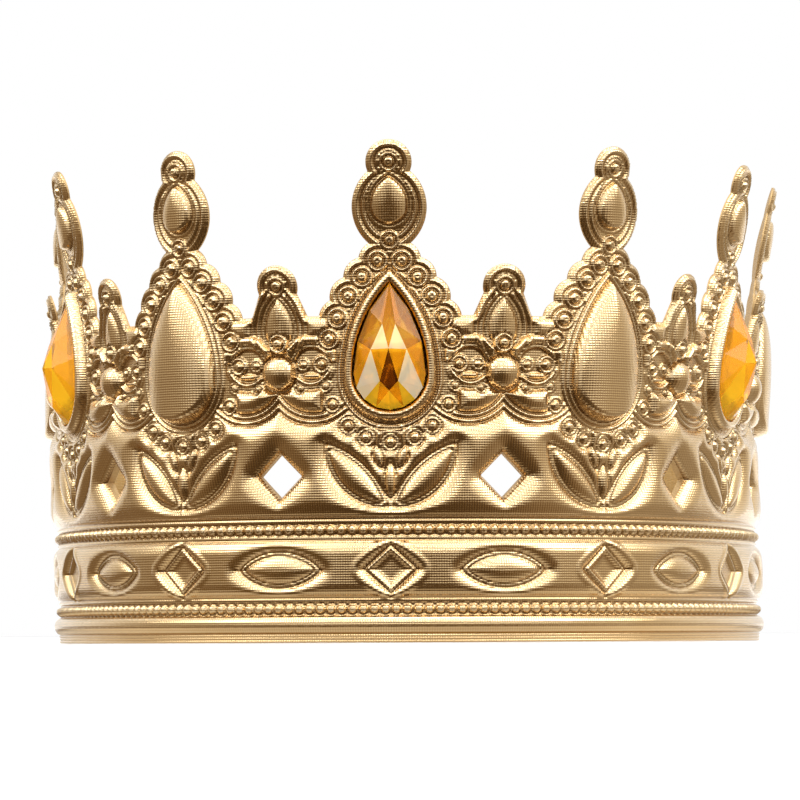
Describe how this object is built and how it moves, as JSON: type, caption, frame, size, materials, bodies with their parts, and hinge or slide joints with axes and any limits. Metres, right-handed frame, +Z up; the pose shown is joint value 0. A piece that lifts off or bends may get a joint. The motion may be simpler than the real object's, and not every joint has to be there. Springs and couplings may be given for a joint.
{
  "type": "soft dress-up crown",
  "caption": "Soft dress-up crown of embossed gold cloth on foam, with tall beaded points, pear-cut amber stones and an elastic strap across the open back.",
  "frame": {"origin": "on the floor, at the centre of the round front of the head opening", "axes": "+Z up towards the points, -Y towards the front stone, +X to the viewer's right from the front"},
  "size_m": [0.1834, 0.1972, 0.1151],
  "materials": {
    "gold_cloth": "metallic woven cloth, embossed",
    "amber_stone": "clear facetted",
    "elastic_strap": "ribbed elastic"
  },
  "bodies": {
    "root": {"crown_shell": "gold_cloth", "gem_front": "amber_stone", "gem_left": "amber_stone", "gem_right": "amber_stone", "back_strap": "elastic_strap"}
  },
  "joints": []
}
